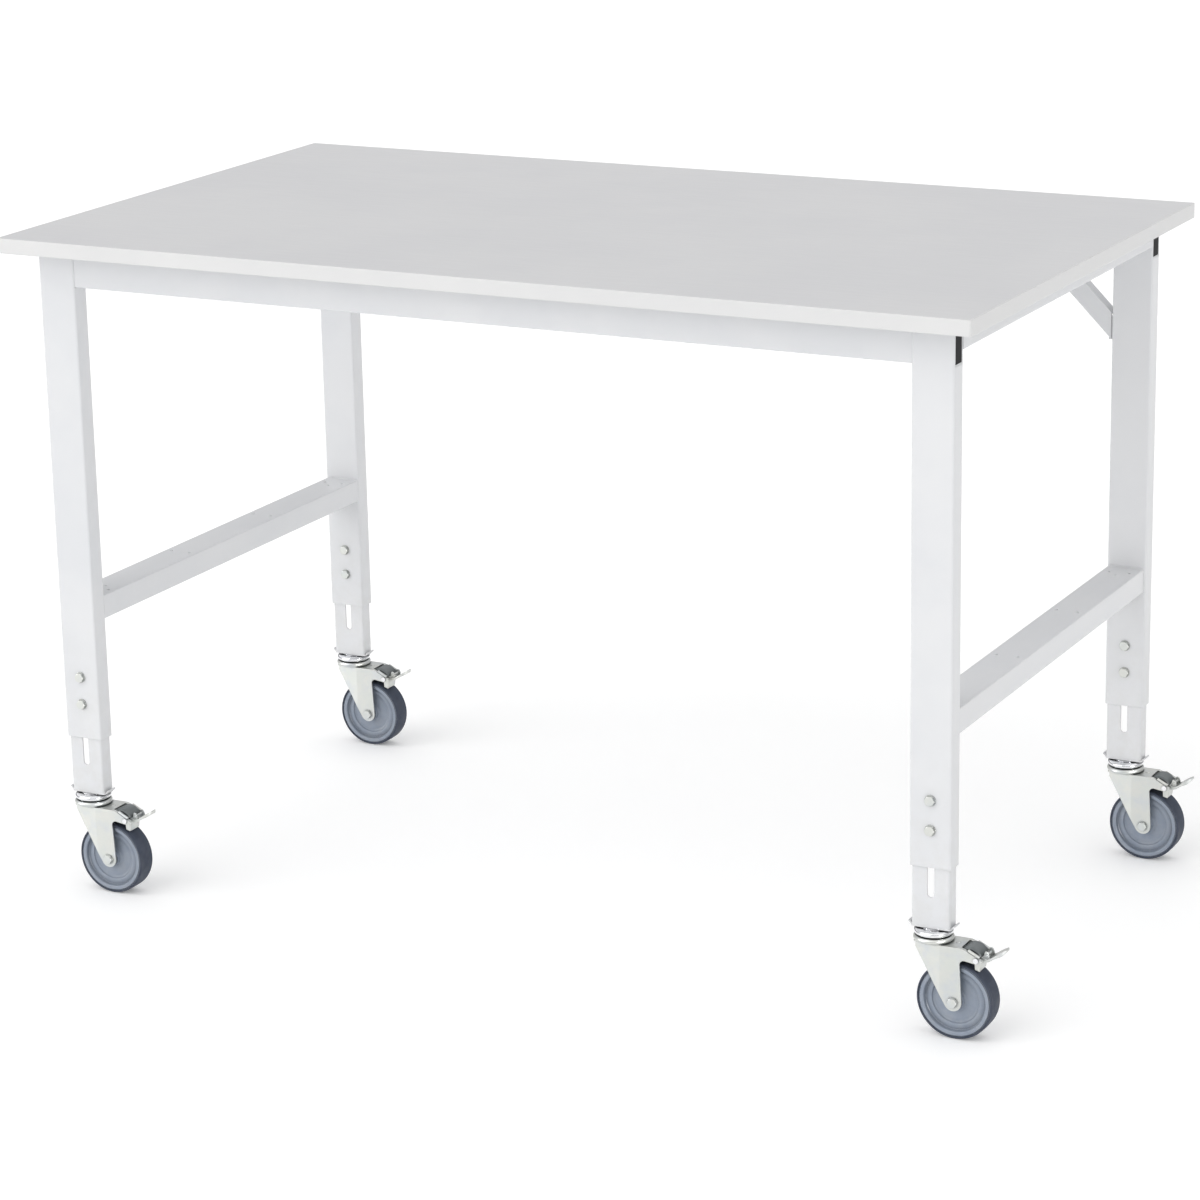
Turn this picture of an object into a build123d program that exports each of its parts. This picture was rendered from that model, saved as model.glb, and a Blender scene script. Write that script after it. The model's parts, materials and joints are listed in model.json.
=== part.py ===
"""Mobile work table: a framed worktop on four telescopic legs with braked swivel castors.

Millimetres. +X runs along the long side, +Y from front to back, +Z up.
The origin is on the floor under the middle of the worktop.
"""

import os
from math import cos, radians, sin

from build123d import *

# Worktop
TOP_LENGTH = 1500.0
TOP_DEPTH = 880.0
TOP_THICKNESS = 22.0
TABLE_HEIGHT = 1000.0
EDGING = 2.0
EDGING_CORNER_R = 3.0

# Frame
WALL = 2.0
LEG_X = 60.0
LEG_Y = 30.0
LEG_CORNER_R = 3.0
END_OVERHANG = 40.0
FRONT_OVERHANG = 45.0
BACK_OVERHANG = 38.0
LEG_BOTTOM = 240.0
RAIL_HEIGHT = 52.0
RAIL_CORNER_R = 2.5
RAIL_END_INSET = 0.5
CAP_DEPTH = 18.0
SIDE_RAIL_HEIGHT = 35.0
SIDE_RAIL_WIDTH = 30.0
CROSSBAR_WIDTH = 56.0
CROSSBAR_HEIGHT = 35.0
CROSSBAR_TOP = 457.0
CROSSBAR_SETBACK = 3.0
HOLE_PITCH = 32.0
SHELF_HOLE_R = 2.75
STATION_ENDS = 30.0
STATION_INNER = 250.0
LOCATING_HOLE_STEP = 16.0

# Braces at the back legs
BRACE_WIDTH = 28.0
BRACE_DEPTH = 20.0
BRACE_TOP_ON_LEG = 838.0
BRACE_END_GAP = 3.0

# Telescopic legs
INNER_X = 55.0
INNER_Y = 25.0
INNER_BOTTOM = 155.0
INNER_TOP = 520.0
SLOT_WIDTH = 10.0
SLOT_BOTTOM = 197.0
SLOT_TOP = 508.0
INNER_LIP = 5.5
CLAMP_BOLT_HEIGHTS = (293.0, 335.0)
CLAMP_BOLT_R = 4.0
CLAMP_PLATE = (34.0, 6.0, 74.0)
FOOT_PLATE = (58.0, 25.0, 2.5)
FOOT_EAR = 5.0

# Castors: the swivel axis is the leg's centre line, and each fork trails to +X
WHEEL_R = 55.0
TREAD = 32.0
TREAD_DEPTH = 3.5
TRAIL = 36.0
AXLE_R = 4.0
FORK_WALL = 2.5
CHEEK_INSIDE = 18.7
FORK_TOP = 134.0
CREASE_X = 17.0
CREASE_SLOPE = 0.15
RACE_R = 28.0
RACE_HEIGHT = 8.0
RACE_GAP = 1.0
STEM_R = 6.0
PIVOT_X = 69.0
PIVOT_Z = 120.2
PIVOT_R = 2.5
LEVER_HALF_WIDTH = 12.0
LEVER_ANGLE = 15.0
SHOE_GAP = 0.5

RUNNING = 0.05

FRAME_END = TOP_LENGTH / 2 - END_OVERHANG
LEG_CENTRE_X = FRAME_END - LEG_X / 2
FRONT_FACE = -TOP_DEPTH / 2 + FRONT_OVERHANG
BACK_FACE = TOP_DEPTH / 2 - BACK_OVERHANG
LEG_CENTRE_FRONT = FRONT_FACE + LEG_Y / 2
LEG_CENTRE_BACK = BACK_FACE - LEG_Y / 2
UNDERSIDE = TABLE_HEIGHT - TOP_THICKNESS
RAIL_DEPTH = LEG_Y - 2 * WALL
BAR_FRONT = FRONT_FACE + LEG_Y
BAR_BACK = BACK_FACE - LEG_Y
BAR_LENGTH = BAR_BACK - BAR_FRONT
BAR_CENTRE_Y = (BAR_FRONT + BAR_BACK) / 2
CROSSBAR_X = FRAME_END - CROSSBAR_SETBACK - CROSSBAR_WIDTH / 2
SIDE_RAIL_X = FRAME_END - SIDE_RAIL_WIDTH / 2

LEGS = {
    "fl": (-LEG_CENTRE_X, LEG_CENTRE_FRONT),
    "fr": (LEG_CENTRE_X, LEG_CENTRE_FRONT),
    "bl": (-LEG_CENTRE_X, LEG_CENTRE_BACK),
    "br": (LEG_CENTRE_X, LEG_CENTRE_BACK),
}
SIDES = {"left": -1, "right": 1}

MIN = Align.MIN
MID = Align.CENTER


def block(low, high):
    """A box between two corners."""
    size = [b - a for a, b in zip(low, high)]
    return Pos(*low) * Box(*size, align=(MIN, MIN, MIN))


def rod(centre, radius, length, axis="Z"):
    """A cylinder with its middle at centre, along X, Y or Z."""
    turn = {"X": (0, 90, 0), "Y": (90, 0, 0), "Z": (0, 0, 0)}[axis]
    return Pos(*centre) * Rot(*turn) * Cylinder(radius, length)


def side_plate(outline, low_y, high_y):
    """A shape drawn in the XZ plane, given its thickness along Y."""
    face = make_face(outline)
    solid = extrude(Plane.XZ * face, amount=high_y - low_y)
    return Pos(0, high_y, 0) * solid


def tube_section(width, depth, corner):
    """The section of a rectangular tube with rounded corners."""
    outer = RectangleRounded(width, depth, corner)
    return outer - RectangleRounded(width - 2 * WALL, depth - 2 * WALL, max(corner - WALL, 0.5))


def hex_bolt(length, radius, head_r, head_height, flange_r):
    """A flanged hex bolt. Its head is below Z = 0 and its shank rises to length."""
    flange = Cylinder(flange_r, 1.4, align=(MID, MID, Align.MAX))
    hexagon = extrude(RegularPolygon(head_r, 6), amount=head_height)
    head = Pos(0, 0, -head_height) * hexagon
    dome = Pos(0, 0, -head_height) * Cone(
        head_r * 0.86, head_r * 0.86 + head_height, head_height, align=(MID, MID, MIN)
    )
    shank = Cylinder(radius, length, align=(MID, MID, MIN))
    return (head & dome) + flange + shank


def worktop_board():
    """The laminated core, with blind holes for the fixing screws."""
    half_x = TOP_LENGTH / 2 - EDGING
    half_y = TOP_DEPTH / 2 - EDGING
    board = block((-half_x, -half_y, UNDERSIDE), (half_x, half_y, TABLE_HEIGHT))
    for x, y in screw_places():
        board -= rod((x, y, UNDERSIDE + 7.6), 2.5, 15.2)
    return board


def worktop_edging():
    """The band round the board, with eased edges."""
    outer = RectangleRounded(TOP_LENGTH, TOP_DEPTH, EDGING_CORNER_R)
    band = Pos(0, 0, UNDERSIDE) * extrude(outer, amount=TOP_THICKNESS)
    outside = band.edges().filter_by(Plane.XY)
    band = fillet(outside, 1.0)
    half_x = TOP_LENGTH / 2 - EDGING
    half_y = TOP_DEPTH / 2 - EDGING
    core = block((-half_x, -half_y, UNDERSIDE - 1), (half_x, half_y, TABLE_HEIGHT + 1))
    return band - core


def screw_places():
    """Where the worktop is screwed down, through the side rails."""
    ys = [BAR_CENTRE_Y + k * BAR_LENGTH * 0.36 for k in (-1, 0, 1)]
    return [(side * SIDE_RAIL_X, y) for side in SIDES.values() for y in ys]


def worktop_screws():
    """Long pan-head screws up through the side rails into the board."""
    low = UNDERSIDE - SIDE_RAIL_HEIGHT
    shank_length = SIDE_RAIL_HEIGHT + 15
    screws = []
    for x, y in screw_places():
        head = Pos(x, y, low) * Cylinder(4.5, 3, align=(MID, MID, Align.MAX))
        head = fillet(head.edges().sort_by(Axis.Z)[0], 1.8)
        screws.append(head + rod((x, y, low + shank_length / 2), 2.4, shank_length))
    return Compound(screws)


def rail(y):
    """A long top rail. It runs through the notched legs at both ends."""
    section = Plane.YZ * tube_section(RAIL_DEPTH, RAIL_HEIGHT, RAIL_CORNER_R)
    tube = extrude(section, amount=FRAME_END - RAIL_END_INSET, both=True)
    return Pos(0, y, UNDERSIDE - RAIL_HEIGHT / 2) * tube


def rail_end_caps():
    """Black plastic plugs, one flush in each rail end."""
    inside_y = RAIL_DEPTH - 2 * WALL
    inside_z = RAIL_HEIGHT - 2 * WALL
    tube_end = FRAME_END - RAIL_END_INSET
    plug = extrude(Plane.YZ * RectangleRounded(inside_y, inside_z, 1.5), amount=-CAP_DEPTH)
    plug = chamfer(plug.faces().sort_by(Axis.X)[-1].edges(), 0.6)
    hollow = RectangleRounded(inside_y - 4, inside_z - 4, 1.0)
    plug -= Pos(-WALL, 0, 0) * extrude(Plane.YZ * hollow, amount=-CAP_DEPTH)
    caps = []
    for y in (LEG_CENTRE_FRONT, LEG_CENTRE_BACK):
        right = Pos(tube_end, y, UNDERSIDE - RAIL_HEIGHT / 2) * plug
        caps += [right, mirror(right, Plane.YZ)]
    return Compound(caps)


def side_rail(side):
    """A top rail from leg to leg, with clearance holes for the worktop screws."""
    section = Plane.XZ * tube_section(SIDE_RAIL_WIDTH, SIDE_RAIL_HEIGHT, RAIL_CORNER_R)
    bar = extrude(section, amount=BAR_LENGTH / 2, both=True)
    bar = Pos(side * SIDE_RAIL_X, BAR_CENTRE_Y, UNDERSIDE - SIDE_RAIL_HEIGHT / 2) * bar
    for x, y in screw_places():
        if x * side > 0:
            bar -= rod((x, y, UNDERSIDE - SIDE_RAIL_HEIGHT / 2), 2.6, SIDE_RAIL_HEIGHT + 4)
    return bar


def shelf_stations():
    """Distances along Y at which the crossbars are drilled."""
    inner = (BAR_BACK - STATION_INNER, BAR_FRONT + STATION_INNER)
    ends = (BAR_BACK - STATION_ENDS, BAR_FRONT + STATION_ENDS)
    return sorted(inner + ends)


def crossbar(side):
    """A folded U, open below, with pairs of holes for a shelf."""
    x = side * CROSSBAR_X
    low_z = CROSSBAR_TOP - CROSSBAR_HEIGHT
    half = CROSSBAR_WIDTH / 2
    bar = block((x - half, BAR_FRONT, low_z), (x + half, BAR_BACK, CROSSBAR_TOP))
    bar = fillet(bar.edges().filter_by(Axis.Y).sort_by(Axis.Z)[2:], 2.0)
    bar -= block(
        (x - half + WALL, BAR_FRONT - 1, low_z - 1),
        (x + half - WALL, BAR_BACK + 1, CROSSBAR_TOP - WALL),
    )
    for y in shelf_stations():
        for step in (-HOLE_PITCH / 2, HOLE_PITCH / 2):
            bar -= rod((x + step, y, CROSSBAR_TOP), SHELF_HOLE_R, 8)
    for y in (BAR_BACK - STATION_ENDS - LOCATING_HOLE_STEP, BAR_FRONT + STATION_ENDS + LOCATING_HOLE_STEP):
        bar -= rod((x, y, CROSSBAR_TOP), SHELF_HOLE_R * 0.8, 8)
    return bar


def outer_leg(x, y):
    """The outer tube: its two narrow faces are notched at the top for the long rail."""
    tube = extrude(tube_section(LEG_X, LEG_Y, LEG_CORNER_R), amount=UNDERSIDE - LEG_BOTTOM)
    tube = Pos(x, y, LEG_BOTTOM) * tube
    notch = Pos(x, y, UNDERSIDE) * Box(
        LEG_X + 2, RAIL_DEPTH, 2 * RAIL_HEIGHT, align=(MID, MID, MID)
    )
    tube -= notch
    for z in CLAMP_BOLT_HEIGHTS:
        tube -= rod((x, y - LEG_Y / 2, z), CLAMP_BOLT_R + 0.2, 10, "Y")
    return tube


def clamp_bolts():
    """Two flanged hex bolts in the front face of each leg."""
    bolts = []
    for x, y in LEGS.values():
        for z in CLAMP_BOLT_HEIGHTS:
            bolt = hex_bolt(16.0, CLAMP_BOLT_R, 7.5, 5.6, 8.2)
            bolts.append(Pos(x, y - LEG_Y / 2, z) * Rot(-90, 0, 0) * bolt)
    return Compound(bolts)


def clamp_plates():
    """The tapped plates inside the legs, which the clamp bolts draw up."""
    wide, thick, tall = CLAMP_PLATE
    near = -INNER_Y / 2 + WALL + 0.3
    mid_z = sum(CLAMP_BOLT_HEIGHTS) / 2
    plates = []
    for x, y in LEGS.values():
        plate = Pos(x, y + near + thick / 2, mid_z) * Box(wide, thick, tall)
        for z in CLAMP_BOLT_HEIGHTS:
            plate -= rod((x, y + near + thick / 2, z), CLAMP_BOLT_R, thick + 2, "Y")
        plates.append(plate)
    return Compound(plates)


def brace_line():
    """Ends of the brace's upper edge, on the leg and under the rail, for the right leg."""
    rail_low = UNDERSIDE - RAIL_HEIGHT
    leg_inside = FRAME_END - LEG_X
    rise = rail_low - BRACE_TOP_ON_LEG
    return (leg_inside, BRACE_TOP_ON_LEG), (leg_inside - rise, rail_low)


def brace(side):
    """A 45 degree channel from a back leg up to the back rail, with two screwed tabs."""
    (leg_x, leg_z), (rail_x, rail_z) = brace_line()
    drop = BRACE_WIDTH / sin(radians(45))
    gap = BRACE_END_GAP
    outline = Polyline(
        (leg_x - gap, leg_z + gap),
        (rail_x + gap, rail_z - gap),
        (rail_x - drop + gap, rail_z - gap),
        (leg_x - gap, leg_z - drop + gap),
        close=True,
    )
    front = LEG_CENTRE_BACK - BRACE_DEPTH / 2
    back = LEG_CENTRE_BACK + BRACE_DEPTH / 2
    channel = side_plate(outline, front, back)
    inset = WALL / sin(radians(45))
    hollow = Polyline(
        (leg_x, leg_z - inset),
        (rail_x - inset, rail_z),
        (rail_x - drop + inset, rail_z),
        (leg_x, leg_z - drop + inset),
        close=True,
    )
    channel -= side_plate(hollow, front + WALL, back + 1)
    low = leg_z - drop
    leg_tab = block((leg_x - WALL, front + WALL, low + 2), (leg_x, back, leg_z - 2))
    rail_tab = block((rail_x - drop + 2, front + WALL, rail_z - WALL), (rail_x - 2, back, rail_z))
    leg_web = block((leg_x - gap - 4, front + WALL, low + 2), (leg_x - WALL, front + 2 * WALL, leg_z - 2))
    rail_web = block(
        (rail_x - drop + 2, front + WALL, rail_z - gap - 4),
        (rail_x - 2, front + 2 * WALL, rail_z - WALL),
    )
    whole = channel + leg_tab + rail_tab + leg_web + rail_web
    for place, axis in brace_screw_places():
        whole -= rod(place, 2.6, 12, axis)
    return whole if side > 0 else mirror(whole, Plane.YZ)


def brace_screw_places():
    """Centres of the two tab screws on the right brace, with their directions."""
    (leg_x, leg_z), (rail_x, rail_z) = brace_line()
    drop = BRACE_WIDTH / sin(radians(45))
    mid_y = LEG_CENTRE_BACK + 2
    on_leg = ((leg_x - WALL, mid_y, leg_z - drop / 2), "X")
    on_rail = ((rail_x - drop / 2, mid_y, rail_z - WALL), "Z")
    return on_leg, on_rail


def brace_screws():
    """Button-head screws in the brace tabs, self-tapping into leg and rail walls."""
    screws = []
    for place, axis in brace_screw_places():
        turn = (0, 90, 0) if axis == "X" else (0, 0, 0)
        head = Cylinder(4.5, 2.6, align=(MID, MID, Align.MAX))
        head = fillet(head.edges().sort_by(Axis.Z)[0], 1.6)
        screw = head + Cylinder(2.4, WALL, align=(MID, MID, MIN))
        screws.append(Pos(*place) * Rot(*turn) * screw)
    screws += [mirror(screw, Plane.YZ) for screw in screws]
    return Compound(screws)


def inner_leg(x, y):
    """The sliding leg: a lipped channel, open at the back, its front slotted for the bolts."""
    tube = extrude(tube_section(INNER_X, INNER_Y, LEG_CORNER_R), amount=INNER_TOP - INNER_BOTTOM)
    tube = Pos(x, y, INNER_BOTTOM) * tube
    mouth = INNER_X / 2 - INNER_LIP
    back = y + INNER_Y / 2 + 1
    tube -= block((x - mouth, y, INNER_BOTTOM - 1), (x + mouth, back, INNER_TOP + 1))
    slot_length = SLOT_TOP - SLOT_BOTTOM
    slot = extrude(SlotOverall(slot_length, SLOT_WIDTH), amount=LEG_Y / 2, both=True)
    slot = Rot(90, 0, 0) * Rot(0, 0, 90) * slot
    return tube - Pos(x, y - LEG_Y / 2, (SLOT_TOP + SLOT_BOTTOM) / 2) * slot


def foot_plate(x, y):
    """The plate welded under the inner leg, with a turned-up ear at each end."""
    length, depth, thick = FOOT_PLATE
    plate = extrude(RectangleRounded(length, depth, 4.0), amount=thick)
    for side in SIDES.values():
        ear = Polyline(
            (side * (length / 2 - 1), 0),
            (side * (length / 2 + FOOT_EAR), FOOT_EAR),
            (side * (length / 2 + FOOT_EAR - 1.2), FOOT_EAR + 2.0),
            (side * (length / 2 - 1), thick),
            close=True,
        )
        plate += side_plate(ear, -9, 9)
    plate -= rod((0, 0, 0), STEM_R, 20)
    return Pos(x, y, INNER_BOTTOM - thick) * plate


def ring_profile(radius, low, high, inner, bulge):
    """Half a section of a bearing ring: a rounded rim between two heights."""
    return make_face(
        Polyline((radius - bulge, low), (inner, low), (inner, high), (radius - bulge, high))
        + ThreePointArc((radius - bulge, high), (radius, (low + high) / 2), (radius - bulge, low))
    )


def revolved(profile):
    """A profile drawn with x as radius and y as height, turned about Z."""
    return revolve(Plane.XZ * profile, Axis.Z)


def castor_head(x, y):
    """The fixed upper race, its raised cone, and the stem with its nut inside the leg."""
    foot_low = INNER_BOTTOM - FOOT_PLATE[2]
    race_top = FORK_TOP + 2 * RACE_HEIGHT + RACE_GAP
    race = revolved(ring_profile(RACE_R - 0.8, race_top - RACE_HEIGHT, race_top, 5.0, 3.0))
    neck = Pos(0, 0, race_top) * Cylinder(17.0, foot_low - race_top, align=(MID, MID, MIN))
    stem = Pos(0, 0, FORK_TOP - 4) * Cylinder(
        STEM_R, INNER_BOTTOM - FORK_TOP + 16, align=(MID, MID, MIN)
    )
    nut = Pos(0, 0, INNER_BOTTOM) * extrude(RegularPolygon(9.8, 6), amount=9.0)
    rivet = Pos(0, 0, FORK_TOP - 7.5) * Cylinder(9.5, 3.5, align=(MID, MID, MIN))
    return Pos(x, y, 0) * (race + neck + stem + nut + rivet)


def below(drop):
    """A height given as a distance below the fork's crown."""
    return FORK_TOP - drop


def fork_side_outline():
    """The cheek seen from the side: a raked front edge, the axle boss and the rear arm."""
    boss_r = 12.4
    rake = radians(58)
    rake_x = TRAIL - boss_r * sin(rake)
    rake_z = WHEEL_R - boss_r * cos(rake)
    nose = (-20.5, below(8))
    front = Line(nose, (rake_x, rake_z))
    boss = ThreePointArc(front @ 1, (TRAIL, WHEEL_R - boss_r), (TRAIL + boss_r, WHEEL_R))
    back = Line(boss @ 1, (45.5, below(25.5)))
    arch = ThreePointArc(back @ 1, (47.3, below(18.8)), (54.0, below(17)))
    arm = Polyline(
        arch @ 1, (76.0, below(20.2)), (76.5, below(13.5)), (55.0, below(2.5)),
        (47.0, below(0)), (-20.5, below(0)), nose,
    )
    return front + boss + back + arch + arm


def fork_plan(outside, front, back):
    """The fork seen from above: an outline at a distance outside the cheeks' inner faces."""
    wide = CHEEK_INSIDE + outside
    narrow = wide - (CREASE_X - front) * CREASE_SLOPE
    return make_face(
        Polyline(
            (back, -wide), (CREASE_X, -wide), (front, -narrow),
            (front, narrow), (CREASE_X, wide), (back, wide), close=True,
        )
    )


def fork():
    """The pressed fork, drawn on the swivel axis: two creased cheeks, a crown and the lower race."""
    plan = fork_plan(FORK_WALL, -23.0, 78.0)
    walls = extrude(plan - fork_plan(0, -30.0, 79.0), amount=FORK_TOP + 5)
    cheeks = walls & side_plate(fork_side_outline(), -30, 30)
    crown_side = Polyline(
        (-24.0, below(0)), (47.0, below(0)), (55.0, below(2.5)), (76.5, below(13.5)),
        (75.4, below(15.8)), (54.2, below(5)), (46.6, below(FORK_WALL)), (-24.0, below(FORK_WALL)),
        close=True,
    )
    crown = side_plate(crown_side, -30, 30) & extrude(plan, amount=FORK_TOP + 5)
    crown -= block((46.0, -15.5, 100), (90, 15.5, FORK_TOP + 5))
    lower_race = revolved(ring_profile(RACE_R, FORK_TOP, FORK_TOP + RACE_HEIGHT, 12.0, 3.2))
    whole = cheeks + crown + lower_race
    whole -= rod((0, 0, FORK_TOP), STEM_R + RUNNING, 40)
    whole -= rod((TRAIL, 0, WHEEL_R), AXLE_R, 60, "Y")
    whole -= rod((PIVOT_X, 0, PIVOT_Z), PIVOT_R, 60, "Y")
    for side in SIDES.values():
        whole += flange_bead(side)
    return whole


def flange_bead(side):
    """The rolled bead along the top of the rear arm."""
    y = side * (CHEEK_INSIDE - 0.1)
    start = Vector(57.0, y, below(1.8))
    direction = Vector(73.0, y, below(10.0)) - start
    return extrude(Plane(origin=start, z_dir=direction) * Circle(2.2), amount=direction.length)


def brake_cap():
    """The domed plastic cover over the brake."""
    front, back, crest = (46.5, below(3)), (74.0, below(10.5)), (61.5, below(-1))
    dome = side_plate(Line(front, back) + ThreePointArc(back, crest, front), -14.6, 14.6)
    dome = fillet(dome.edges().filter_by(GeomType.CIRCLE), 3.5)
    front, back, crest = (50.0, below(5)), (71.5, below(12)), (61.0, below(1.4))
    inner = side_plate(Line(front, back) + ThreePointArc(back, crest, front), -12.4, 12.4)
    return dome - inner


def brake_pin():
    """The pin that the lever turns on, headed over outside the cheeks."""
    outside = CHEEK_INSIDE + FORK_WALL
    pin = rod((PIVOT_X, 0, PIVOT_Z), PIVOT_R, 2 * outside, "Y")
    for side in SIDES.values():
        pin += rod((PIVOT_X, side * (outside + 0.9), PIVOT_Z), 3.8, 1.8, "Y")
    return pin


def lever_body():
    """The lever's barrel on the pin, its shoe towards the tyre and its shoulder."""
    outline = Polyline(
        (63.5, below(17)), (64.5, below(36)), (70.5, below(36)), (73.0, below(19.5)),
        (84.0, below(16.5)), (91.0, below(11.5)), (89.8, below(9.2)), (82.0, below(13)),
        (76.5, below(12.5)), (72.0, below(10.2)), (66.0, below(10.2)), (63.5, below(12.5)), close=True,
    )
    body = side_plate(outline, -LEVER_HALF_WIDTH, LEVER_HALF_WIDTH)
    inside = LEVER_HALF_WIDTH - 2.2
    return body - block((63.0, -inside, below(28.2)), (70.0, inside, below(20.5)))


def lever_ears():
    """Two upright ears with a cross bar, which stiffen the lever's root."""
    outline = Polyline(
        (77.0, below(15)), (84.5, below(15)), (84.0, below(9)), (81.5, below(4)), (78.2, below(3)),
        (76.6, below(7)), close=True,
    )
    ears = rod((80.4, 0, below(8.2)), 1.6, 22.0, "Y")
    for side in SIDES.values():
        ears += side_plate(outline, side * 9.0 - 1.2, side * 9.0 + 1.2)
    return ears


def lever_pedal():
    """The upturned pedal, rounded at its tip."""
    root, bend, tip = (89.0, below(12.6)), (97.0, below(8.5)), (107.5, below(-1))
    tip_top, root_top = (105.6, below(-1.6)), (88.0, below(9.8))
    strip = side_plate(
        Line(root, bend)
        + ThreePointArc(bend, (103.5, below(4.8)), tip)
        + Line(tip, tip_top)
        + ThreePointArc(tip_top, (99.0, below(2.4)), root_top)
        + Line(root_top, root),
        -LEVER_HALF_WIDTH,
        LEVER_HALF_WIDTH,
    )
    tongue = Pos(90.0, 0) * Rectangle(12, 2 * LEVER_HALF_WIDTH) + Pos(96.0, 0) * Circle(
        LEVER_HALF_WIDTH - 0.1
    )
    return strip & extrude(tongue, amount=FORK_TOP + 20)


def brake_lever():
    """The whole lever, bored for the pin, its shoe cut to the tyre's curve."""
    lever = lever_body() + lever_ears() + lever_pedal()
    lever -= rod((PIVOT_X, 0, PIVOT_Z), PIVOT_R + RUNNING, 60, "Y")
    return lever - pressed_tyre()


def pressed_tyre():
    """The tyre's place as the lever meets it when pushed right down, with a small gap."""
    arm_x = TRAIL - PIVOT_X
    arm_z = WHEEL_R - PIVOT_Z
    back = radians(-LEVER_ANGLE)
    x = PIVOT_X + arm_x * cos(back) + arm_z * sin(back)
    z = PIVOT_Z - arm_x * sin(back) + arm_z * cos(back)
    return rod((x, 0, z), WHEEL_R + SHOE_GAP, 60, "Y")


def about_wheel_axis(profile):
    """A profile with x as radius and y as distance across the wheel, turned about the axle."""
    turned = revolve(Plane.XY * profile, Axis.Y)
    return Pos(TRAIL, 0, WHEEL_R) * turned


def tyre():
    """The grey tread ring, slightly crowned, with rounded shoulders."""
    inner_r = WHEEL_R - TREAD_DEPTH
    half = TREAD / 2
    shoulder = WHEEL_R - 1.6
    profile = make_face(
        Polyline(
            (inner_r, -half + 1.5), (inner_r, half - 1.5), (inner_r + 1.2, half), (shoulder - 0.6, half)
        )
        + ThreePointArc((shoulder - 0.6, half), (shoulder + 0.6, half - 0.9), (WHEEL_R - 0.4, half - 4.0))
        + ThreePointArc((WHEEL_R - 0.4, half - 4.0), (WHEEL_R, 0), (WHEEL_R - 0.4, -half + 4.0))
        + ThreePointArc((WHEEL_R - 0.4, -half + 4.0), (shoulder + 0.6, -half + 0.9), (shoulder - 0.6, -half))
        + Polyline((shoulder - 0.6, -half), (inner_r + 1.2, -half), (inner_r, -half + 1.5))
    )
    return about_wheel_axis(profile)


def wheel_core():
    """The moulded wheel centre: rim lip, dished web with a step, and hub."""
    bore = AXLE_R + RUNNING
    rim_r = WHEEL_R - TREAD_DEPTH
    right = [
        (bore, 17.9), (8.0, 17.9), (8.6, 16.6), (12.5, 15.6), (13.5, 10.4), (17.0, 8.6), (30.0, 7.4),
        (33.5, 8.2), (34.5, 9.8), (36.5, 10.2), (42.6, 9.4), (43.6, 10.4), (44.6, 14.4), (45.6, 15.2),
        (49.8, 15.2), (50.6, 14.2), (rim_r, 14.0),
    ]
    left = [(r, -y) for r, y in reversed(right)]
    profile = make_face(Polyline(*right, *left, close=True))
    return about_wheel_axis(profile)


def axle_bolt():
    """The axle: a hex-headed bolt and its locknut outside the cheeks."""
    outside = CHEEK_INSIDE + FORK_WALL
    bolt = hex_bolt(2 * outside + 8.5, AXLE_R, 7.2, 5.0, 7.2)
    bolt = Pos(TRAIL, -outside, WHEEL_R) * Rot(-90, 0, 0) * bolt
    nut = extrude(RegularPolygon(7.2, 6), amount=6.5) - Cylinder(AXLE_R, 20)
    nut = Pos(TRAIL, outside + 6.5, WHEEL_R) * Rot(90, 0, 0) * nut
    return Compound([bolt, nut])


def write(shape, name):
    """One file for each node."""
    export_step(shape, f"parts/{name}.step")


def write_frame():
    """Everything that never moves relative to the worktop."""
    write(worktop_board(), "worktop_board")
    write(worktop_edging(), "worktop_edging")
    write(rail(LEG_CENTRE_FRONT), "rail_front")
    write(rail(LEG_CENTRE_BACK), "rail_back")
    write(rail_end_caps(), "rail_end_caps")
    for name, side in SIDES.items():
        write(side_rail(side), f"side_rail_{name}")
        write(crossbar(side), f"crossbar_{name}")
        write(brace(side), f"brace_{name}")
    for name, (x, y) in LEGS.items():
        write(outer_leg(x, y), f"outer_leg_{name}")
    write(clamp_bolts(), "clamp_bolts")
    write(clamp_plates(), "clamp_plates")
    write(brace_screws(), "brace_screws")
    write(worktop_screws(), "worktop_screws")


def write_castors():
    """The sliding leg, its plate and its castor, at each corner."""
    on_axis = {
        "fork": fork(),
        "brake_cap": brake_cap(),
        "brake_pin": brake_pin(),
        "brake_lever": brake_lever(),
        "axle_bolt": axle_bolt(),
        "wheel_core": wheel_core(),
        "tyre": tyre(),
    }
    for name, (x, y) in LEGS.items():
        write(inner_leg(x, y), f"inner_leg_{name}")
        write(foot_plate(x, y), f"foot_plate_{name}")
        write(castor_head(x, y), f"castor_head_{name}")
        for node, shape in on_axis.items():
            write(Pos(x, y, 0) * shape, f"{node}_{name}")


os.makedirs("parts", exist_ok=True)
write_frame()
write_castors()
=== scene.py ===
"""A mobile work table: its finishes, its small fittings and a plain studio. Metres, +Z up."""

import json
from math import cos, pi, radians, sin

import bpy
from mathutils import Matrix, Vector


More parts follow.
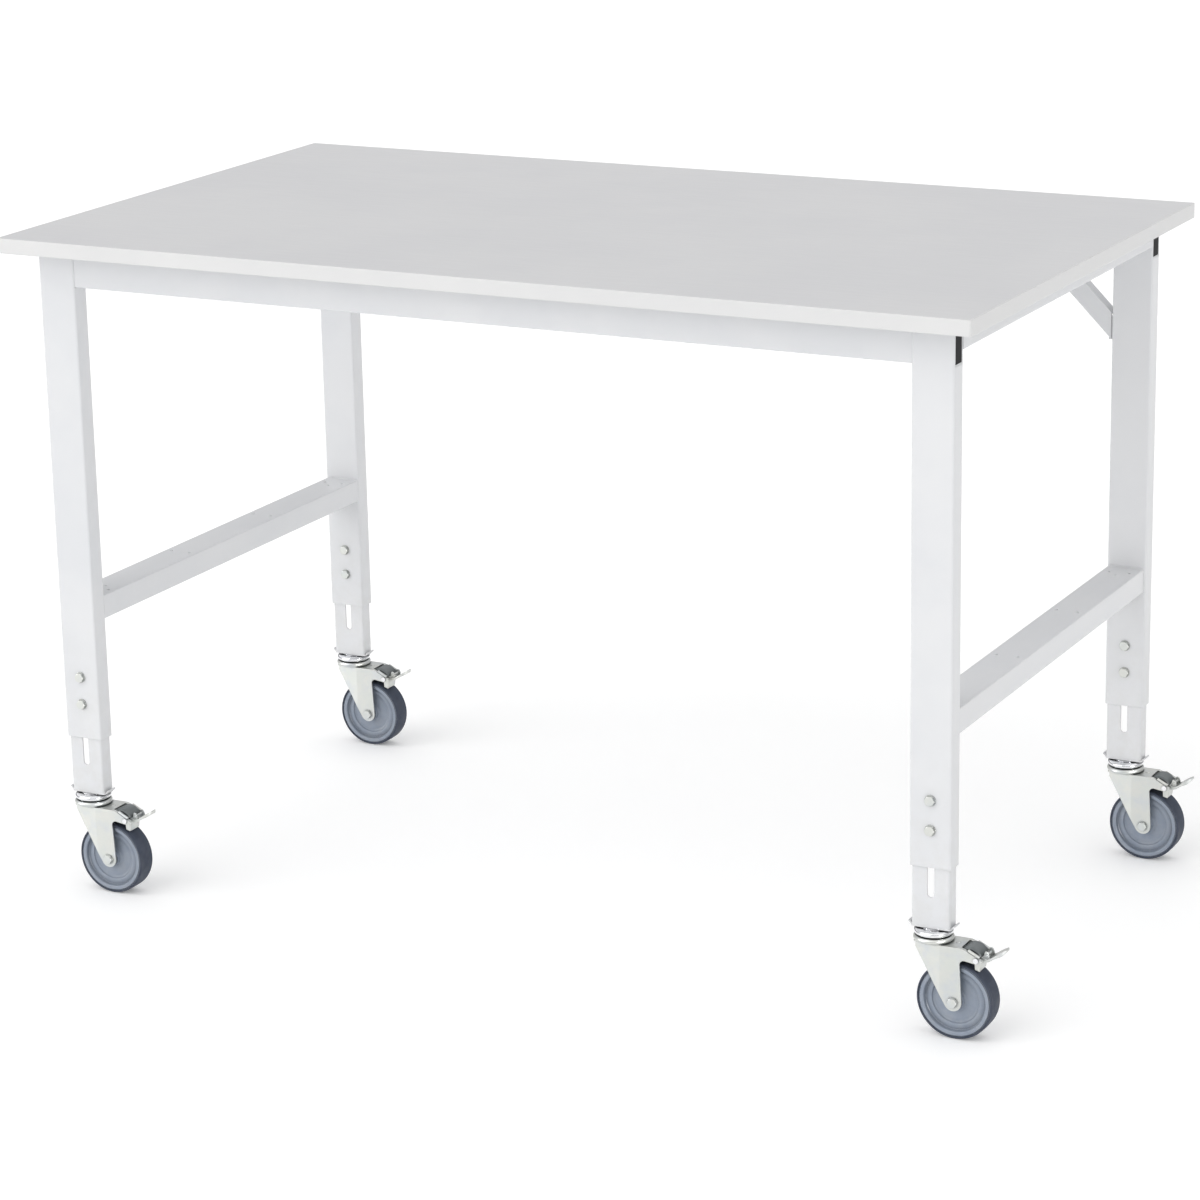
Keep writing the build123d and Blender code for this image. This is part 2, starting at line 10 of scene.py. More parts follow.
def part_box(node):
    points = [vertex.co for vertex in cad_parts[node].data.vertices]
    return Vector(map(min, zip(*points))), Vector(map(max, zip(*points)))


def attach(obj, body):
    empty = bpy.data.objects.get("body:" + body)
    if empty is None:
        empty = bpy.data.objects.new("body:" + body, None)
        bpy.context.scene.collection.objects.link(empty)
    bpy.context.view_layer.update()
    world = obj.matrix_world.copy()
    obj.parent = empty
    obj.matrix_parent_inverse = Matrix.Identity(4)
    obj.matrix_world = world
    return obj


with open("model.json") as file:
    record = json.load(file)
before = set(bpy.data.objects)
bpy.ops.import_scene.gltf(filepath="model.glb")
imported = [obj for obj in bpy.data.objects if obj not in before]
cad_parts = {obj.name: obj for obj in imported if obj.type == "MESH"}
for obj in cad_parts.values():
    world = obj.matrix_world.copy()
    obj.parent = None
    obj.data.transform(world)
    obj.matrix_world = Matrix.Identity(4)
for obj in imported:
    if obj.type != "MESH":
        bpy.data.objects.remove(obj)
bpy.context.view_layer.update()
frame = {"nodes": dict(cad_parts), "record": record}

MM = 0.001
CORNERS = ("fl", "fr", "bl", "br")
SLOT_OF = {part["node"]: part["material_slot"] for part in frame["record"]["subparts"]}

# Where the viewer stands
CAMERA_PLACE = (2.478, -4.807, 2.009)
CAMERA_AZIMUTH = 27.39
CAMERA_ELEVATION = 16.30
CAMERA_ROLL = -1.14
CAMERA_LENS = 113.5
SENSOR = 36.0


# ---------------------------------------------------------------- node tools


def add(tree, kind, inputs=None, **settings):
    """One node, with its settings and its inputs set or linked."""
    node = tree.nodes.new(kind)
    for name, value in settings.items():
        setattr(node, name, value)
    for key, value in (inputs or {}).items():
        if isinstance(value, bpy.types.NodeSocket):
            tree.links.new(value, node.inputs[key])
        else:
            node.inputs[key].default_value = value
    return node


def maths(tree, operation, first, second=0.0, clamp=False):
    """The result of one Math node."""
    node = add(tree, "ShaderNodeMath", {0: first, 1: second}, operation=operation, use_clamp=clamp)
    return node.outputs[0]


def remap(tree, value, low, high, new_low=0.0, new_high=1.0):
    """A value's range stretched to another, smoothly, and held at its ends."""
    inputs = {"Value": value, 1: low, 2: high, 3: new_low, 4: new_high}
    node = add(tree, "ShaderNodeMapRange", inputs, interpolation_type="SMOOTHSTEP")
    return node.outputs[0]


def noise(tree, place, scale, detail=2.0, roughness=0.5):
    """A noise value at a place."""
    inputs = {"Vector": place, "Scale": scale, "Detail": detail, "Roughness": roughness}
    return add(tree, "ShaderNodeTexNoise", inputs).outputs["Fac"]


def blend(tree, amount, first, second):
    """Two colours mixed by an amount."""
    node = add(tree, "ShaderNodeMix", {0: amount}, data_type="RGBA")
    for index, colour in ((6, first), (7, second)):
        if isinstance(colour, bpy.types.NodeSocket):
            tree.links.new(colour, node.inputs[index])
        else:
            node.inputs[index].default_value = (*colour, 1.0)
    return node.outputs[2]


def new_group(name, inputs, outputs):
    """An empty shader group with named sockets."""
    group = bpy.data.node_groups.new(name, "ShaderNodeTree")
    for label, kind, value in inputs:
        socket = group.interface.new_socket(label, in_out="INPUT", socket_type=kind)
        if value is not None:
            socket.default_value = value
    for label, kind in outputs:
        group.interface.new_socket(label, in_out="OUTPUT", socket_type=kind)
    entry = group.nodes.new("NodeGroupInput").outputs
    leave = group.nodes.new("NodeGroupOutput").inputs
    return group, entry, leave


FLOAT, VECTOR = "NodeSocketFloat", "NodeSocketVector"


# ------------------------------------------------------------- shared effects


def edge_wear_and_highlight_group():
    """Softened edges: a rounded normal, a mask of every edge (used for painted highlights) and one of its
    rubbed patches.
    """
    group, given, out = new_group(
        "edge wear and highlight",
        [("Place", VECTOR, None), ("Radius", FLOAT, 0.8 * MM), ("Patchiness", FLOAT, 60.0)],
        [("Mask", FLOAT), ("Edge", FLOAT), ("Normal", VECTOR)],
    )
    round_edge = add(group, "ShaderNodeBevel", {"Radius": given["Radius"]}, samples=4)
    flat = add(group, "ShaderNodeNewGeometry").outputs["Normal"]
    dot = add(
        group, "ShaderNodeVectorMath", {0: round_edge.outputs[0], 1: flat}, operation="DOT_PRODUCT"
    )
    turn = maths(group, "SUBTRACT", 1.0, dot.outputs["Value"])
    patches = noise(group, given["Place"], given["Patchiness"], 3.0)
    worn = remap(group, patches, 0.42, 0.62)
    whole = remap(group, turn, 0.02, 0.2)
    group.links.new(maths(group, "MULTIPLY", whole, worn, True), out["Mask"])
    # the unbroken edge mask, which the finishes use for painted highlights
    group.links.new(whole, out["Edge"])
    group.links.new(round_edge.outputs[0], out["Normal"])
    return group


def grain_group():
    """A fine pebbled surface at a scale given per metre: its height, and a slow change of tone."""
    group, given, out = new_group(
        "surface grain",
        [("Place", VECTOR, None), ("Grain", FLOAT, 1200.0), ("Cloud", FLOAT, 6.0)],
        [("Height", FLOAT), ("Tone", FLOAT), ("Speck", FLOAT)],
    )
    pebble = noise(group, given["Place"], given["Grain"], 2.0, 0.55)
    fine = noise(group, given["Place"], maths(group, "MULTIPLY", given["Grain"], 2.7), 1.0)
    coarse_share = maths(group, "MULTIPLY", pebble, 0.7)
    fine_share = maths(group, "MULTIPLY", fine, 0.3)
    height = maths(group, "ADD", coarse_share, fine_share)
    tone = noise(group, given["Place"], given["Cloud"], 4.0, 0.6)
    group.links.new(height, out["Height"])
    group.links.new(remap(group, tone, 0.35, 0.65), out["Tone"])
    group.links.new(remap(group, fine, 0.60, 0.72), out["Speck"])
    return group


def dust_group():
    """Dust and scuffs that thin out with height above the floor."""
    group, given, out = new_group(
        "floor dust",
        [("Place", VECTOR, None), ("Reach", FLOAT, 0.12), ("Amount", FLOAT, 0.5)],
        [("Mask", FLOAT)],
    )
    height = add(group, "ShaderNodeSeparateXYZ", {0: given["Place"]}).outputs["Z"]
    share = maths(group, "DIVIDE", height, given["Reach"])
    low = maths(group, "SUBTRACT", 1.0, share, True)
    patches = noise(group, given["Place"], 55.0, 5.0, 0.65)
    broken = maths(group, "MULTIPLY", remap(group, patches, 0.38, 0.68), low)
    group.links.new(maths(group, "MULTIPLY", broken, given["Amount"], True), out["Mask"])
    return group


def crevice_group():
    """Shade that gathers in grooves and corners, as a mask."""
    group, given, out = new_group(
        "crevice shade", [("Reach", FLOAT, 5.0 * MM), ("Depth", FLOAT, 0.6)], [("Mask", FLOAT)]
    )
    open_sky = add(group, "ShaderNodeAmbientOcclusion", {"Distance": given["Reach"]}, samples=4)
    closed = maths(group, "SUBTRACT", 1.0, open_sky.outputs["AO"])
    shade = maths(group, "MULTIPLY", remap(group, closed, 0.08, 0.55), given["Depth"], True)
    group.links.new(shade, out["Mask"])
    return group


EDGE_WEAR_AND_HIGHLIGHT = edge_wear_and_highlight_group()
CREVICE = crevice_group()
GRAIN = grain_group()
DUST = dust_group()


def use(tree, group, inputs):
    """A shared effect placed in a material."""
    return add(tree, "ShaderNodeGroup", inputs, node_tree=group).outputs


def new_material(name, constants):
    """A material with a Principled shader, whose plain constants are set on its own sockets."""
    material = bpy.data.materials.new(name)
    material.use_nodes = True
    tree = material.node_tree
    shader = tree.nodes["Principled BSDF"]
    for socket, value in constants.items():
        shader.inputs[socket].default_value = value
    place = add(tree, "ShaderNodeTexCoord").outputs["Object"]
    return material, tree, shader, place


def bump(tree, height, strength, distance, normal=None):
    """A Bump node's normal."""
    inputs = {"Height": height, "Strength": strength, "Distance": distance}
    if normal is not None:
        inputs["Normal"] = normal
    return add(tree, "ShaderNodeBump", inputs).outputs[0]


def plug(tree, shader, **sockets):
    """Links values into the shader; underscores in a name stand for spaces."""
    for name, value in sockets.items():
        tree.links.new(value, shader.inputs[name.replace("_", " ")])


# ------------------------------------------------------------------ finishes


def powder_coat():
    """Light grey powder coat: orange-peel texture, a painted highlight along every edge, scuffs near the
    floor.
    """
    material, tree, shader, place = new_material(
        "powder coat", {"Metallic": 0.0, "Coat Weight": 0.45, "Coat Roughness": 0.14}
    )
    grey, pale_grey = (0.640, 0.650, 0.668), (0.672, 0.678, 0.690)
    painted_edge_highlight, floor_dirt = (0.84, 0.84, 0.84), (0.55, 0.54, 0.51)
    edge = use(tree, EDGE_WEAR_AND_HIGHLIGHT, {"Place": place, "Radius": 0.9 * MM})
    grain = use(tree, GRAIN, {"Place": place, "Grain": 650.0, "Cloud": 5.0})
    dust = use(tree, DUST, {"Place": place, "Reach": 0.45, "Amount": 0.35})
    colour = blend(tree, grain["Tone"], grey, pale_grey)
    # painted highlight: every edge blended part way towards white
    colour = blend(tree, maths(tree, "MULTIPLY", edge["Edge"], 0.6), colour, painted_edge_highlight)
    colour = blend(tree, dust["Mask"], colour, floor_dirt)
    rough = remap(tree, grain["Tone"], 0.0, 1.0, 0.40, 0.50)
    plug(
        tree, shader, Base_Color=colour, Roughness=rough,
        Normal=bump(tree, grain["Height"], 0.25, 0.15 * MM, edge["Normal"]),
    )
    return material


def laminate():
    """The worktop's melamine: mid grey, a fine pearl texture, faint wiping marks."""
    material, tree, shader, place = new_material("worktop laminate", {"Metallic": 0.0})
    grey, pale_grey, pearl = (0.590, 0.591, 0.602), (0.610, 0.610, 0.617), (0.66, 0.66, 0.67)
    grain = use(tree, GRAIN, {"Place": place, "Grain": 900.0, "Cloud": 3.0})
    stretched = add(tree, "ShaderNodeMapping", {"Vector": place, "Scale": (3.0, 40.0, 1.0)}).outputs[0]
    wipes = noise(tree, stretched, 4.0, 5.0, 0.6)
    colour = blend(tree, grain["Tone"], grey, pale_grey)
    colour = blend(tree, maths(tree, "MULTIPLY", grain["Speck"], 0.35), colour, pearl)
    rough = remap(tree, wipes, 0.3, 0.7, 0.42, 0.52)
    plug(
        tree, shader, Base_Color=colour, Roughness=rough,
        Normal=bump(tree, grain["Height"], 0.3, 0.12 * MM),
    )
    return material


def edging():
    """The plastic edge band: lighter than the top, satin, with a painted highlight along its upper edge.
    """
    material, tree, shader, place = new_material("edge band", {"Metallic": 0.0})
    grey, pale_grey, painted_arris_highlight = (0.640, 0.641, 0.642), (0.662, 0.662, 0.660), (0.90, 0.90, 0.90)
    edge = use(tree, EDGE_WEAR_AND_HIGHLIGHT, {"Place": place, "Radius": 1.4 * MM})
    grain = use(tree, GRAIN, {"Place": place, "Grain": 500.0, "Cloud": 4.0})
    colour = blend(tree, grain["Tone"], grey, pale_grey)
    # painted highlight: the band's edges blended towards near white
    colour = blend(tree, edge["Edge"], colour, painted_arris_highlight)
    rough = remap(tree, grain["Tone"], 0.0, 1.0, 0.36, 0.44)
    plug(
        tree, shader, Base_Color=colour, Roughness=rough,
        Normal=bump(tree, grain["Height"], 0.15, 0.1 * MM, edge["Normal"]),
    )
    return material


def moulded(name, dark, light, roughness, grain_scale, reflectance=0.5):
    """Moulded plastic: fine spark-eroded grain, polished edges, dust and shaded grooves."""
    material, tree, shader, place = new_material(
        name, {"Metallic": 0.0, "Specular IOR Level": reflectance}
    )
    polished = tuple(min(1.0, value * 1.25 + 0.02) for value in light)
    dusty = tuple(0.5 * value + 0.5 * dust for value, dust in zip(light, (0.45, 0.44, 0.42)))
    shaded = tuple(0.25 * value for value in dark)
    edge = use(tree, EDGE_WEAR_AND_HIGHLIGHT, {"Place": place, "Radius": 0.6 * MM, "Patchiness": 90.0})
    grain = use(tree, GRAIN, {"Place": place, "Grain": grain_scale, "Cloud": 25.0})
    dust = use(tree, DUST, {"Place": place, "Reach": 0.16, "Amount": 0.35})
    shade = use(tree, CREVICE, {"Reach": 7.0 * MM, "Depth": 0.85})
    colour = blend(tree, grain["Tone"], dark, light)
    colour = blend(tree, maths(tree, "MULTIPLY", edge["Mask"], 0.6), colour, polished)
    colour = blend(tree, dust["Mask"], colour, dusty)
    colour = blend(tree, shade["Mask"], colour, shaded)
    rough = remap(tree, grain["Height"], 0.3, 0.7, roughness - 0.05, roughness + 0.08)
    plug(
        tree, shader, Base_Color=colour, Roughness=rough,
        Normal=bump(tree, grain["Height"], 0.35, 0.1 * MM, edge["Normal"]),
    )
    return material


def zinc():
    """Bright zinc plating on pressed steel: pale, faintly green and blue in patches."""
    material, tree, shader, place = new_material("zinc plate", {})
    greenish, bluish, yellowish = (0.600, 0.620, 0.592), (0.565, 0.590, 0.602), (0.625, 0.632, 0.600)
    rubbed, shaded = (0.90, 0.91, 0.90), (0.07, 0.075, 0.08)
    edge = use(tree, EDGE_WEAR_AND_HIGHLIGHT, {"Place": place, "Radius": 0.7 * MM, "Patchiness": 80.0})
    grain = use(tree, GRAIN, {"Place": place, "Grain": 1500.0, "Cloud": 30.0})
    shade = use(tree, CREVICE, {"Reach": 4.0 * MM, "Depth": 0.7})
    tint = remap(tree, noise(tree, place, 42.0, 3.0), 0.35, 0.65)
    colour = blend(tree, tint, greenish, bluish)
    colour = blend(tree, grain["Tone"], colour, yellowish)
    colour = blend(tree, maths(tree, "MULTIPLY", edge["Mask"], 0.8), colour, rubbed)
    colour = blend(tree, shade["Mask"], colour, shaded)
    drawn = add(tree, "ShaderNodeMapping", {"Vector": place, "Scale": (1.0, 1.0, 14.0)}).outputs[0]
    rough = remap(tree, noise(tree, drawn, 90.0, 4.0), 0.3, 0.7, 0.30, 0.44)
    metal = remap(tree, grain["Speck"], 0.0, 1.0, 0.92, 0.80)
    plug(
        tree, shader, Base_Color=colour, Roughness=rough, Metallic=metal,
        Normal=bump(tree, grain["Height"], 0.12, 0.08 * MM, edge["Normal"]),
    )
    return material


def chrome():
    """Bright plating, with fine polishing lines round the races."""
    material, tree, shader, place = new_material("bright plate", {})
    silver, pale_silver, shaded = (0.80, 0.81, 0.83), (0.86, 0.86, 0.87), (0.03, 0.03, 0.035)
    edge = use(tree, EDGE_WEAR_AND_HIGHLIGHT, {"Place": place, "Radius": 0.4 * MM})
    grain = use(tree, GRAIN, {"Place": place, "Grain": 2500.0, "Cloud": 40.0})
    shade = use(tree, CREVICE, {"Reach": 6.0 * MM, "Depth": 0.9})
    flat = add(tree, "ShaderNodeMapping", {"Vector": place, "Scale": (20.0, 20.0, 900.0)}).outputs[0]
    lines = noise(tree, flat, 5.0, 2.0)
    colour = blend(tree, grain["Tone"], silver, pale_silver)
    colour = blend(tree, shade["Mask"], colour, shaded)
    rough = remap(tree, lines, 0.3, 0.7, 0.07, 0.16)
    metal = remap(tree, grain["Speck"], 0.0, 1.0, 1.0, 0.95)
    plug(
        tree, shader, Base_Color=colour, Roughness=rough, Metallic=metal,
        Normal=bump(tree, lines, 0.05, 0.05 * MM, edge["Normal"]),
    )
    return material


def tread():
    """Grey rubber: fine grain, dust picked up from the floor, darker where it is clean."""
    material, tree, shader, place = new_material(
        "tread rubber", {"Metallic": 0.0, "Specular IOR Level": 0.22}
    )
    clean, faded = (0.038, 0.048, 0.074), (0.052, 0.063, 0.092)
    rubbed, dusty = (0.12, 0.13, 0.16), (0.15, 0.155, 0.17)
    edge = use(tree, EDGE_WEAR_AND_HIGHLIGHT, {"Place": place, "Radius": 0.8 * MM, "Patchiness": 70.0})
    grain = use(tree, GRAIN, {"Place": place, "Grain": 1400.0, "Cloud": 40.0})
    dust = use(tree, DUST, {"Place": place, "Reach": 0.13, "Amount": 0.3})
    colour = blend(tree, grain["Tone"], clean, faded)
    colour = blend(tree, maths(tree, "MULTIPLY", edge["Mask"], 0.5), colour, rubbed)
    colour = blend(tree, dust["Mask"], colour, dusty)
    rough = remap(tree, grain["Tone"], 0.0, 1.0, 0.55, 0.72)
    plug(
        tree, shader, Base_Color=colour, Roughness=rough,
        Normal=bump(tree, grain["Height"], 0.4, 0.15 * MM, edge["Normal"]),
    )
    return material


FINISHES = {
    "laminate": laminate(),
    "edging": edging(),
    "powder_coat": powder_coat(),
    "black_plastic": moulded(
        "black plastic", (0.004, 0.004, 0.005), (0.007, 0.007, 0.008), 0.50, 1800.0, 0.12
    ),
    "grey_plastic": moulded("grey plastic", (0.105, 0.120, 0.125), (0.135, 0.150, 0.155), 0.36, 1500.0),
    "zinc": zinc(),
    "chrome": chrome(),
    "wheel_plastic": moulded("wheel plastic", (0.215, 0.252, 0.315), (0.245, 0.283, 0.345), 0.34, 1200.0),
    "tread": tread(),
}

for name, node in frame["nodes"].items():
    node.data.materials.clear()
    node.data.materials.append(FINISHES[SLOT_OF[name]])


# ------------------------------------------------------------- small fittings

WELD_RADIUS = 1.7 * MM
WELD_PITCH = 1.5 * MM
WELD_FLATTENING = 0.8
WELD_END_GAP = 3.0 * MM
CROSSBAR_CORNER = 5.0 * MM
RAIL_CORNER = 4.0 * MM
RAIL_TOP_GAP = 6.0 * MM
SEAL_INNER_R = 19.0 * MM
SEAL_OUTER_R = 25.4 * MM
SEAL_LOW = 0.1 * MM
SEAL_HIGH = 0.9 * MM
SEAL_BULGE = 0.35 * MM
SEAL_CORNER = 0.25 * MM
RIVET_R = 3.4 * MM
RIVET_HEIGHT = 1.3 * MM
RIVET_SUNK = 0.4 * MM
RIVET_X = 35.5 * MM
FORK_RACE = 8.0 * MM


def middle(node, axis):
    """The middle of a node's box along X (0), Y (1) or Z (2)."""
    low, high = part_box(node)
    return (low[axis] + high[axis]) / 2


def publish(mesh, name, body, slot_name):
    """A finished mesh shown as a piece that moves with a body."""
    piece = bpy.data.objects.new(name, mesh)
    bpy.context.scene.collection.objects.link(piece)
    if not mesh.materials:
        mesh.materials.append(FINISHES[slot_name])
    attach(piece, body)


def lathed(name, profile, centre, steps=64):
    """A closed or axis-to-axis profile of (radius, height) turned about a vertical line.

    The profile runs outwards along the bottom first, so that the faces point outwards.
    """
    x, y, z = centre
    points, rings = [], []
    for radius, height in profile:
        count = steps if radius > 0 else 1
        rings.append(range(len(points), len(points) + count))
        for turn in (2 * pi * n / steps for n in range(count)):
            points.append((x + radius * cos(turn), y + radius * sin(turn), z + height))
    closed = profile[0][0] > 0 and profile[-1][0] > 0
    following = rings[1:] + (rings[:1] if closed else [])
    faces = []
    for here, there in zip(rings, following):
        for n in range(steps):
            around = ((here, n), (here, n + 1), (there, n + 1), (there, n))
            corners = [ring[place % len(ring)] for ring, place in around]
            faces.append(tuple(dict.fromkeys(corners)))
    mesh = bpy.data.meshes.new(name)
    mesh.from_pydata(points, [], faces)
    mesh.shade_smooth()
    return mesh


def race_seal(corner):
    """The dark seal between a castor's two races."""
    fork_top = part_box(f"fork_{corner}")[1][2]
    low, high = fork_top + SEAL_LOW, fork_top + SEAL_HIGH
    edge = SEAL_OUTER_R + SEAL_BULGE
    profile = [
        (SEAL_INNER_R, low), (SEAL_OUTER_R, low), (edge, low + SEAL_CORNER),
        (edge, high - SEAL_CORNER), (SEAL_OUTER_R, high), (SEAL_INNER_R, high),
    ]
    head = f"castor_head_{corner}"
    mesh = lathed(f"race_seal_{corner}", profile, (middle(head, 0), middle(head, 1), 0))
    publish(mesh, f"race_seal_{corner}", f"leg_{corner}", "black_plastic")


def crown_rivet(corner):
    """The domed rivet in the fork's crown, behind the races."""
    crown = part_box(f"fork_{corner}")[1][2] - FORK_RACE
    dome = [(RIVET_R * cos(a), RIVET_HEIGHT * sin(a)) for a in (radians(15 * n) for n in range(6))]
    profile = [(0.0, -RIVET_SUNK), (RIVET_R, -RIVET_SUNK), *dome, (0.0, RIVET_HEIGHT)]
    head = f"castor_head_{corner}"
    centre = (middle(head, 0) + RIVET_X, middle(head, 1), crown)
    mesh = lathed(f"crown_rivet_{corner}", profile, centre, 32)
    publish(mesh, f"crown_rivet_{corner}", f"fork_{corner}", "zinc")


def weld_tree():
    """Geometry nodes: overlapping flattened beads along every edge of the mesh."""
    tree = bpy.data.node_groups.new("weld beads", "GeometryNodeTree")
    face = tree.interface
    for label, kind in (
        ("Geometry", "NodeSocketGeometry"), ("Pitch", FLOAT), ("Radius", FLOAT),
        ("Finish", "NodeSocketMaterial"),
    ):
        face.new_socket(label, in_out="INPUT", socket_type=kind)
    face.new_socket("Geometry", in_out="OUTPUT", socket_type="NodeSocketGeometry")
    given = tree.nodes.new("NodeGroupInput").outputs
    curve = add(tree, "GeometryNodeMeshToCurve", {"Mesh": given["Geometry"]})
    points = add(
        tree, "GeometryNodeCurveToPoints", {"Curve": curve.outputs[0], "Length": given["Pitch"]},
        mode="LENGTH",
    )
    bead = add(tree, "GeometryNodeMeshIcoSphere", {"Radius": given["Radius"], "Subdivisions": 2})
    placed = add(
        tree, "GeometryNodeInstanceOnPoints",
        {
            "Points": points.outputs["Points"], "Instance": bead.outputs["Mesh"],
            "Rotation": points.outputs["Rotation"], "Scale": (1.0, 1.0, WELD_FLATTENING),
        },
    )
    real = add(tree, "GeometryNodeRealizeInstances", {"Geometry": placed.outputs[0]})
    smooth = add(tree, "GeometryNodeSetShadeSmooth", {"Geometry": real.outputs[0]})
    painted = add(
        tree, "GeometryNodeSetMaterial", {"Geometry": smooth.outputs[0], "Material": given["Finish"]}
    )
    leave = tree.nodes.new("NodeGroupOutput")
    tree.links.new(painted.outputs[0], leave.inputs[0])
    return tree


def weld_lines():
    """Pairs of points: where the crossbars and the side rails meet the legs."""
    lines = []
    for side, sign in (("left", -1), ("right", 1)):
        (x0, y0, z0), (x1, y1, z1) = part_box(f"crossbar_{side}")
        outer = max(sign * x0, sign * x1) * sign
        for y in (y0, y1):
            lines.append(((x0 + CROSSBAR_CORNER, y, z1), (x1 - CROSSBAR_CORNER, y, z1)))
            lines.append(((outer, y, z0 + WELD_END_GAP), (outer, y, z1 - WELD_END_GAP)))
        (x0, y0, z0), (x1, y1, z1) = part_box(f"side_rail_{side}")
        inner = min(sign * x0, sign * x1) * sign
        for y in (y0, y1):
            lines.append(((x0 + RAIL_CORNER, y, z0), (x1 - RAIL_CORNER, y, z0)))
            lines.append(((inner, y, z0 + WELD_END_GAP), (inner, y, z1 - RAIL_TOP_GAP)))
    return lines


def weld_beads():
    """The painted weld beads of the frame, as one plain mesh."""
    lines = weld_lines()
    path = bpy.data.meshes.new("weld lines")
    points = [point for line in lines for point in line]
    path.from_pydata(points, [(2 * n, 2 * n + 1) for n in range(len(lines))], [])
    maker = bpy.data.objects.new("weld lines", path)
    bpy.context.scene.collection.objects.link(maker)
    modifier = maker.modifiers.new("beads", "NODES")
    modifier.node_group = weld_tree()
    values = {"Pitch": WELD_PITCH, "Radius": WELD_RADIUS, "Finish": FINISHES["powder_coat"]}
    for socket in modifier.node_group.interface.items_tree:
        if socket.in_out == "INPUT" and socket.name in values:
            modifier[socket.identifier] = values[socket.name]
    graph = bpy.context.evaluated_depsgraph_get()
    mesh = bpy.data.meshes.new_from_object(maker.evaluated_get(graph))
    mesh.name = "weld_beads"
    maker.modifiers.remove(modifier)
    bpy.data.objects.remove(maker)
    publish(mesh, "weld_beads", "frame", "powder_coat")


weld_beads()
for corner in CORNERS:
    race_seal(corner)
    crown_rivet(corner)


# -------------------------------------------------------------------- studio

FLOOR_REACH = 60.0
FLOOR_GLOW = 0.13
WALL_LIGHT = 0.86
# Place on the ramp from low to high, and brightness there: a dark band under white walls
REFLECTED_BANDS = ((0.12, 0.16), (0.30, 0.22), (0.38, 1.0))


def studio_floor():
    """A large pale floor that glows faintly, so that its far parts stay white."""
    reach = FLOOR_REACH
    mesh = bpy.data.meshes.new("floor")
    corners = [(-reach, -reach, 0), (reach, -reach, 0), (reach, reach, 0), (-reach, reach, 0)]
    mesh.from_pydata(corners, [], [(0, 1, 2, 3)])
    floor = bpy.data.objects.new("floor", mesh)
    bpy.context.scene.collection.objects.link(floor)
    material, tree, shader, place = new_material(
        "studio floor",
        {"Roughness": 0.7, "Emission Color": (1.0, 1.0, 1.0, 1.0), "Emission Strength": FLOOR_GLOW},
    )
    tone = noise(tree, place, 0.7, 3.0)
    plug(tree, shader, Base_Color=blend(tree, tone, (0.93, 0.93, 0.93), (0.95, 0.95, 0.95)))
    mesh.materials.append(material)


def outward(turn, rise):
    """The direction away from the table at an azimuth and an elevation, in radians."""
    return Vector((sin(turn) * cos(rise), -cos(turn) * cos(rise), sin(rise)))


def sun(name, azimuth, elevation, strength, spread, only_shine=False):
    """Soft light from a direction, with azimuth 0 at the front and 90 at the right.

    One that is only shine lights nothing and shows in reflections.
    """
    data = bpy.data.lights.new(name, "SUN")
    data.energy = strength
    data.angle = radians(spread)
    lamp = bpy.data.objects.new(name, data)
    towards = outward(radians(azimuth), radians(elevation))
    lamp.rotation_euler = towards.to_track_quat("Z", "Y").to_euler()
    lamp.visible_diffuse = not only_shine
    bpy.context.scene.collection.objects.link(lamp)


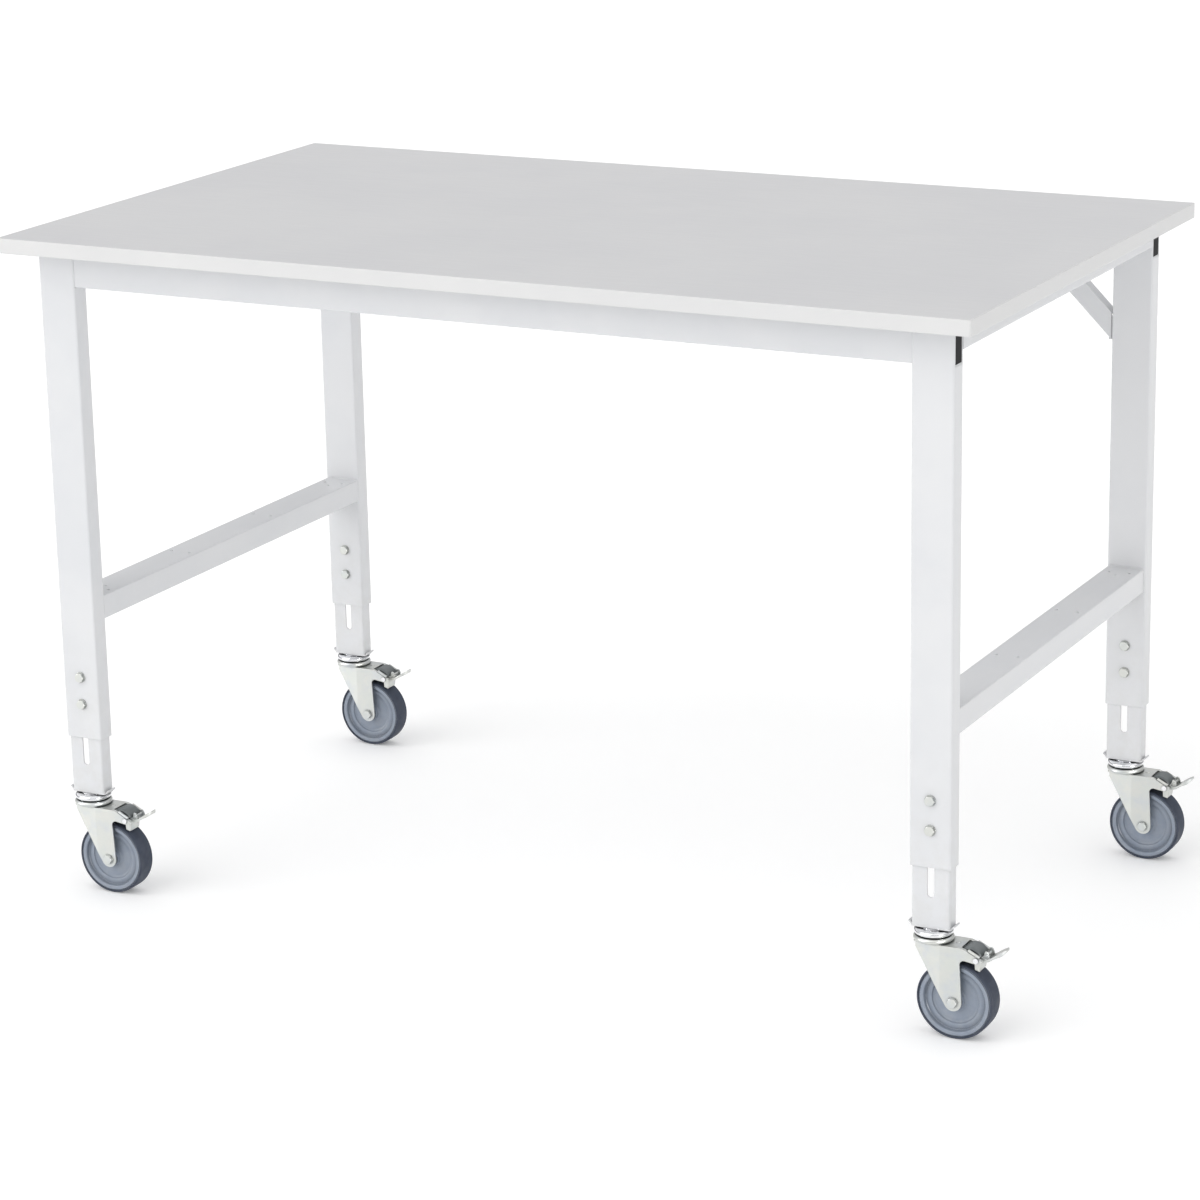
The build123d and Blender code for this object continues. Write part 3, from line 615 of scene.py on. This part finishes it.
def surroundings():
    """White walls, with a darker band that shows only in reflections."""
    world = bpy.data.worlds.new("studio")
    bpy.context.scene.world = world
    world.use_nodes = True
    tree = world.node_tree
    tree.nodes.clear()
    direction = add(tree, "ShaderNodeTexCoord").outputs["Generated"]
    parts = add(tree, "ShaderNodeSeparateXYZ", {0: direction}).outputs
    ramp = add(tree, "ShaderNodeValToRGB", {0: remap(tree, parts["Z"], -0.2, 1.0)})
    ramp.color_ramp.elements[0].color = (0.30, 0.31, 0.33, 1.0)
    ramp.color_ramp.elements[1].color = (1.0, 1.0, 1.0, 1.0)
    for position, level in REFLECTED_BANDS:
        element = ramp.color_ramp.elements.new(position)
        element.color = (level, level, level * 1.03, 1.0)
    studio = add(tree, "ShaderNodeBackground", {"Color": ramp.outputs[0], "Strength": 1.0})
    plain = add(tree, "ShaderNodeBackground", {"Color": (1, 1, 1, 1), "Strength": WALL_LIGHT})
    white = add(tree, "ShaderNodeBackground", {"Color": (1, 1, 1, 1), "Strength": 1.0})
    rays = add(tree, "ShaderNodeLightPath").outputs
    lit = add(
        tree, "ShaderNodeMixShader",
        {0: rays["Is Glossy Ray"], 1: plain.outputs[0], 2: studio.outputs[0]},
    )
    seen = add(
        tree, "ShaderNodeMixShader",
        {0: rays["Is Camera Ray"], 1: lit.outputs[0], 2: white.outputs[0]},
    )
    add(tree, "ShaderNodeOutputWorld", {"Surface": seen.outputs[0]})


def camera():
    """The viewer, at the front right and a little above."""
    data = bpy.data.cameras.new("camera")
    data.lens = CAMERA_LENS
    data.sensor_width = SENSOR
    data.clip_end = 200.0
    viewer = bpy.data.objects.new("camera", data)
    turn, rise, roll = (radians(v) for v in (CAMERA_AZIMUTH, CAMERA_ELEVATION, CAMERA_ROLL))
    back = outward(turn, rise)
    right = Vector((0, 0, 1)).cross(back).normalized()
    up = back.cross(right)
    right, up = right * cos(roll) + up * sin(roll), up * cos(roll) - right * sin(roll)
    axes = Matrix((right, up, back)).transposed().to_4x4()
    viewer.matrix_world = Matrix.Translation(CAMERA_PLACE) @ axes
    bpy.context.scene.collection.objects.link(viewer)
    bpy.context.scene.camera = viewer


studio_floor()
surroundings()
sun("key light", azimuth=-30.0, elevation=34.0, strength=0.92, spread=60.0)
sun("fill light", azimuth=60.0, elevation=58.0, strength=0.10, spread=80.0)
sun("edge light", azimuth=64.0, elevation=10.0, strength=2.2, spread=14.0, only_shine=True)
sun("sheen light", azimuth=-52.0, elevation=8.0, strength=1.1, spread=10.0, only_shine=True)
camera()
bpy.context.scene.view_settings.view_transform = "Standard"
